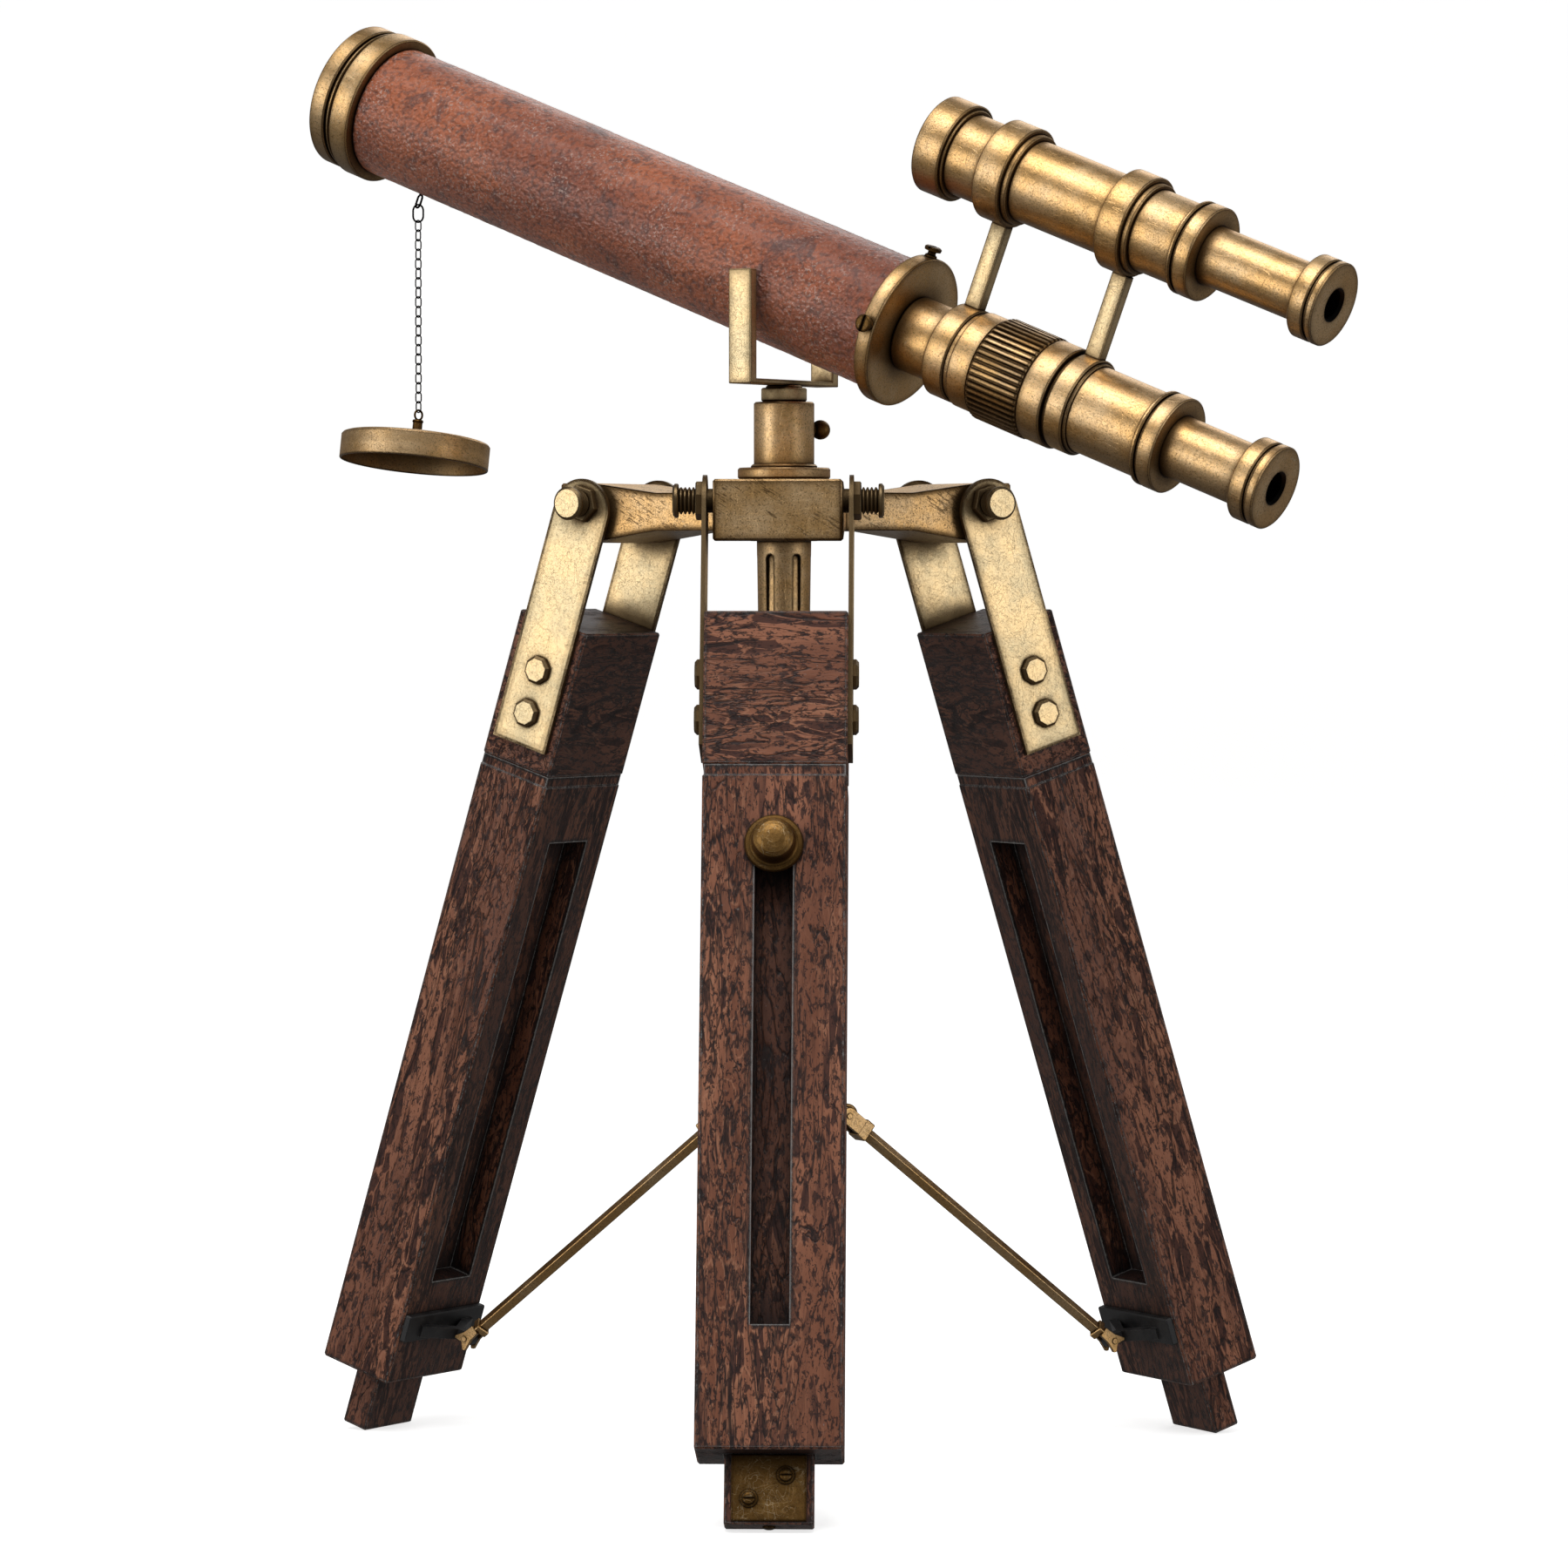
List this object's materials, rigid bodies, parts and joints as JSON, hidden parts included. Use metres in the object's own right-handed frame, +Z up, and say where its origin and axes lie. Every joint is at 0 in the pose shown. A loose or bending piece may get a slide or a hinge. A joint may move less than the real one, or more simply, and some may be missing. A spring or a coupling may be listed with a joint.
{
  "type": "desktop telescope on tripod",
  "caption": "Antique-style brass telescope with leather-covered tube, finder scope, chained lens cap and folding wooden tripod.",
  "frame": {"origin": "on the ground under the azimuth axis, at the centre of the three feet", "axes": "+Z up along the azimuth axis; one leg points to -Y, the other two to +X+Y and -X+Y; the objective points over the -X+Y leg"},
  "size_m": [0.3044, 0.2447, 0.4215],
  "materials": {
    "antique_brass": "aged brass with dark patina in the corners and fine scratches",
    "bright_brass": "lighter rubbed brass with scratches",
    "dark_brass": "dark patinated brass",
    "hardwood": "reddish brown oiled hardwood with dark grain and worn grey edges",
    "leather": "reddish brown pebbled leather, mottled",
    "black_metal": "worn black enamel",
    "optical_glass": "clear coated optical glass",
    "chain_brass": "dark blackened brass wire"
  },
  "bodies": {
    "tripod_hub": {"hub_casting": "antique_brass", "centre_post": "antique_brass", "socket": "antique_brass"},
    "socket_screw": {"socket_clamp_screw": "dark_brass"},
    "leg_front": {"leg_head_front": "hardwood", "leg_sleeve_front": "hardwood", "hinge_plates_front": "bright_brass", "plate_bolts_front": "dark_brass", "pivot_rod_front": "dark_brass", "spreader_bracket_front": "black_metal"},
    "foot_front": {"inner_leg_front": "hardwood", "foot_plate_front": "antique_brass"},
    "knob_front": {"clamp_knob_front": "dark_brass"},
    "rod_front": {"spreader_rod_front": "antique_brass"},
    "leg_right": {"leg_head_right": "hardwood", "leg_sleeve_right": "hardwood", "hinge_plates_right": "bright_brass", "plate_bolts_right": "dark_brass", "pivot_rod_right": "dark_brass", "spreader_bracket_right": "black_metal"},
    "foot_right": {"inner_leg_right": "hardwood", "foot_plate_right": "antique_brass"},
    "knob_right": {"clamp_knob_right": "dark_brass"},
    "rod_right": {"spreader_rod_right": "antique_brass"},
    "leg_left": {"leg_head_left": "hardwood", "leg_sleeve_left": "hardwood", "hinge_plates_left": "bright_brass", "plate_bolts_left": "dark_brass", "pivot_rod_left": "dark_brass", "spreader_bracket_left": "black_metal"},
    "foot_left": {"inner_leg_left": "hardwood", "foot_plate_left": "antique_brass"},
    "knob_left": {"clamp_knob_left": "dark_brass"},
    "rod_left": {"spreader_rod_left": "antique_brass"},
    "spreader": {"spreader_hub": "antique_brass"},
    "turret": {"yoke": "bright_brass"},
    "telescope": {"main_tube": "antique_brass", "leather_cover": "leather", "trunnion_pins": "antique_brass", "objective_ring": "antique_brass", "objective_lens": "optical_glass", "backplate": "antique_brass", "backplate_screws": "dark_brass", "eyepiece_front": "antique_brass", "eyepiece_rear": "antique_brass", "finder_body": "antique_brass", "finder_lens": "optical_glass", "finder_posts": "bright_brass", "chain_eyelet": "chain_brass"},
    "focus": {"focus_ring": "antique_brass"},
    "draw": {"drawtube": "antique_brass", "eyecup": "antique_brass", "eye_lens": "optical_glass"},
    "finder_draw": {"finder_drawtube": "antique_brass", "finder_eyecup": "antique_brass", "finder_eye_lens": "optical_glass"},
    "link_top": {"chain_top_link": "chain_brass"},
    "chain_run": {"chain": "chain_brass"},
    "cap": {"cap_stud": "chain_brass", "lens_cap": "antique_brass"}
  },
  "joints": [
    {"name": "socket_screw_turn", "type": "hinge", "parent": "tripod_hub", "child": "socket_screw", "pos_m": [0.00866, 0.005, 0.29906], "axis": [0.866, 0.5, 0], "range_deg": [0, 360]},
    {"name": "leg_front_fold", "type": "hinge", "parent": "tripod_hub", "child": "leg_front", "pos_m": [0, -0.0558, 0.27776], "axis": [1, 0, 0], "range_deg": [0, 7]},
    {"name": "leg_right_fold", "type": "hinge", "parent": "tripod_hub", "child": "leg_right", "pos_m": [0.04832, 0.0279, 0.27776], "axis": [-0.5, 0.866, 0], "range_deg": [0, 7]},
    {"name": "leg_left_fold", "type": "hinge", "parent": "tripod_hub", "child": "leg_left", "pos_m": [-0.04832, 0.0279, 0.27776], "axis": [-0.5, -0.866, 0], "range_deg": [0, 7]},
    {"name": "foot_front_slide", "type": "slide", "parent": "leg_front", "child": "foot_front", "axis": [0, -0.3052, -0.9523], "range_m": [0, 0.125]},
    {"name": "knob_front_turn", "type": "hinge", "parent": "foot_front", "child": "knob_front", "pos_m": [0, -0.09915, 0.18297], "axis": [0, -0.9523, 0.3052], "range_deg": [0, 360]},
    {"name": "rod_front_hinge", "type": "hinge", "parent": "leg_front", "child": "rod_front", "pos_m": [0, -0.1106, 0.02856], "axis": [1, 0, 0], "range_deg": [0, 13.66]},
    {"name": "foot_right_slide", "type": "slide", "parent": "leg_right", "child": "foot_right", "axis": [0.2643, 0.1526, -0.9523], "range_m": [0, 0.125]},
    {"name": "knob_right_turn", "type": "hinge", "parent": "foot_right", "child": "knob_right", "pos_m": [0.08587, 0.04957, 0.18297], "axis": [0.8247, 0.4761, 0.3052], "range_deg": [0, 360]},
    {"name": "rod_right_hinge", "type": "hinge", "parent": "leg_right", "child": "rod_right", "pos_m": [0.09578, 0.0553, 0.02856], "axis": [-0.5, 0.866, 0], "range_deg": [0, 13.66]},
    {"name": "foot_left_slide", "type": "slide", "parent": "leg_left", "child": "foot_left", "axis": [-0.2643, 0.1526, -0.9523], "range_m": [0, 0.125]},
    {"name": "knob_left_turn", "type": "hinge", "parent": "foot_left", "child": "knob_left", "pos_m": [-0.08587, 0.04957, 0.18297], "axis": [-0.8247, 0.4761, 0.3052], "range_deg": [0, 360]},
    {"name": "rod_left_hinge", "type": "hinge", "parent": "leg_left", "child": "rod_left", "pos_m": [-0.09578, 0.0553, 0.02856], "axis": [-0.5, -0.866, 0], "range_deg": [0, 13.66]},
    {"name": "spreader_rise", "type": "slide", "parent": "tripod_hub", "child": "spreader", "axis": [0, 0, 1], "range_m": [0, 0.02253]},
    {"name": "azimuth", "type": "hinge", "parent": "tripod_hub", "child": "turret", "pos_m": [0, 0, 0.29776], "axis": [0, 0, 1], "continuous": true},
    {"name": "altitude", "type": "hinge", "parent": "turret", "child": "telescope", "pos_m": [0, 0, 0.34276], "axis": [0.5, 0.866, 0], "range_deg": [-32, 7]},
    {"name": "focus_turn", "type": "hinge", "parent": "telescope", "child": "focus", "pos_m": [0.06782, -0.03916, 0.31239], "axis": [0.8074, -0.4662, -0.3616], "range_deg": [-180, 180]},
    {"name": "draw_slide", "type": "slide", "parent": "telescope", "child": "draw", "axis": [0.8074, -0.4662, -0.3616], "range_m": [-0.0095, 0.0095]},
    {"name": "finder_draw_slide", "type": "slide", "parent": "telescope", "child": "finder_draw", "axis": [0.8074, -0.4662, -0.3616], "range_m": [-0.008, 0.008]},
    {"name": "chain_plumb", "type": "hinge", "parent": "telescope", "child": "link_top", "pos_m": [-0.11136, 0.06429, 0.36797], "axis": [0.5, 0.866, 0], "range_deg": [-7.05, 32.05]},
    {"name": "chain_swing", "type": "hinge", "parent": "link_top", "child": "chain_run", "pos_m": [-0.11136, 0.06429, 0.36259], "axis": [0.866, -0.5, 0], "range_deg": [-20, 20]},
    {"name": "cap_tilt", "type": "hinge", "parent": "chain_run", "child": "cap", "pos_m": [-0.11136, 0.06429, 0.30489], "axis": [-0.7071, 0.7071, 0], "range_deg": [-15, 15]}
  ],
  "couplings": [
    {"joint": "leg_right_fold", "follows": "leg_front_fold", "ratio": 1},
    {"joint": "leg_left_fold", "follows": "leg_front_fold", "ratio": 1},
    {"joint": "rod_front_hinge", "follows": "leg_front_fold", "ratio": 1.9502},
    {"joint": "rod_right_hinge", "follows": "leg_front_fold", "ratio": 1.9502},
    {"joint": "rod_left_hinge", "follows": "leg_front_fold", "ratio": 1.9502},
    {"joint": "spreader_rise", "follows": "leg_front_fold", "m_per_rad": 0.18426},
    {"joint": "draw_slide", "follows": "focus_turn", "m_per_rad": 0.003},
    {"joint": "chain_plumb", "follows": "altitude", "ratio": -1}
  ]
}
